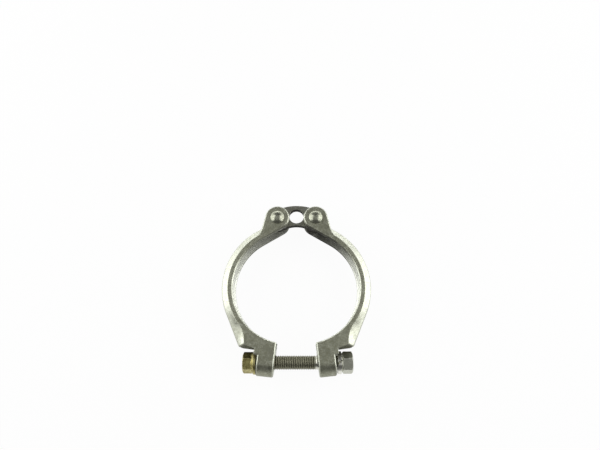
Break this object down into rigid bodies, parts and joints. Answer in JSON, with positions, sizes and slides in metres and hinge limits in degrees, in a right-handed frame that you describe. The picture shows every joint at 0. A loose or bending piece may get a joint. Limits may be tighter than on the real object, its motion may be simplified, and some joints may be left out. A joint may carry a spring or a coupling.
{
  "type": "v band clamp",
  "caption": "Hinged V-band clamp: cast half rings with an inner V groove, joined by a pinned link, pull two flanged pipe ends together with a bolt and lock nut.",
  "frame": {"origin": "centre of the closed ring, midway between the clamp's two side faces", "axes": "+Z along the ring's axis, +X along the bolt towards its head, +Y towards the hinge"},
  "size_m": [0.0696, 0.0814, 0.0152],
  "materials": {
    "cast_steel": "satin investment-cast stainless steel, blasted",
    "pin_steel": "smooth domed rivet heads, semi-polished",
    "link_steel": "satin stamped plate",
    "bolt_steel": "dark oiled steel",
    "washer_steel": "plain spring steel",
    "nut_brass": "dull olive-yellow brass"
  },
  "bodies": {
    "right_half": {"right_clamp_half": "cast_steel", "right_hinge_pin": "pin_steel"},
    "link": {"hinge_link": "link_steel"},
    "left_half": {"left_clamp_half": "cast_steel", "left_hinge_pin": "pin_steel"},
    "washer": {"spring_washer": "washer_steel"},
    "bolt": {"clamp_bolt": "bolt_steel"},
    "nut": {"lock_nut": "nut_brass"}
  },
  "joints": [
    {"name": "right_hinge", "type": "hinge", "parent": "right_half", "child": "link", "pos_m": [0.00935, 0.0327, 0], "axis": [0, 0, 1], "range_deg": [0, 6]},
    {"name": "left_hinge", "type": "hinge", "parent": "link", "child": "left_half", "pos_m": [-0.00935, 0.0327, 0], "axis": [0, 0, 1], "range_deg": [0, 6]},
    {"name": "bolt_tilt", "type": "hinge", "parent": "right_half", "child": "washer", "pos_m": [0.01356, -0.03463, 0], "axis": [0, 0, 1], "range_deg": [0, 6]},
    {"name": "bolt_turn", "type": "hinge", "parent": "washer", "child": "bolt", "pos_m": [0.01356, -0.03463, 0], "axis": [-1, 0, 0], "range_deg": [0, 5256]},
    {"name": "nut_travel", "type": "slide", "parent": "washer", "child": "nut", "axis": [1, 0, 0], "range_m": [0, 0.0146]}
  ],
  "couplings": [
    {"joint": "right_hinge", "follows": "bolt_turn", "ratio": 0.0011415},
    {"joint": "left_hinge", "follows": "bolt_turn", "ratio": 0.0011415},
    {"joint": "bolt_tilt", "follows": "bolt_turn", "ratio": 0.0011415},
    {"joint": "nut_travel", "follows": "bolt_turn", "m_per_rad": 0.00015915}
  ]
}
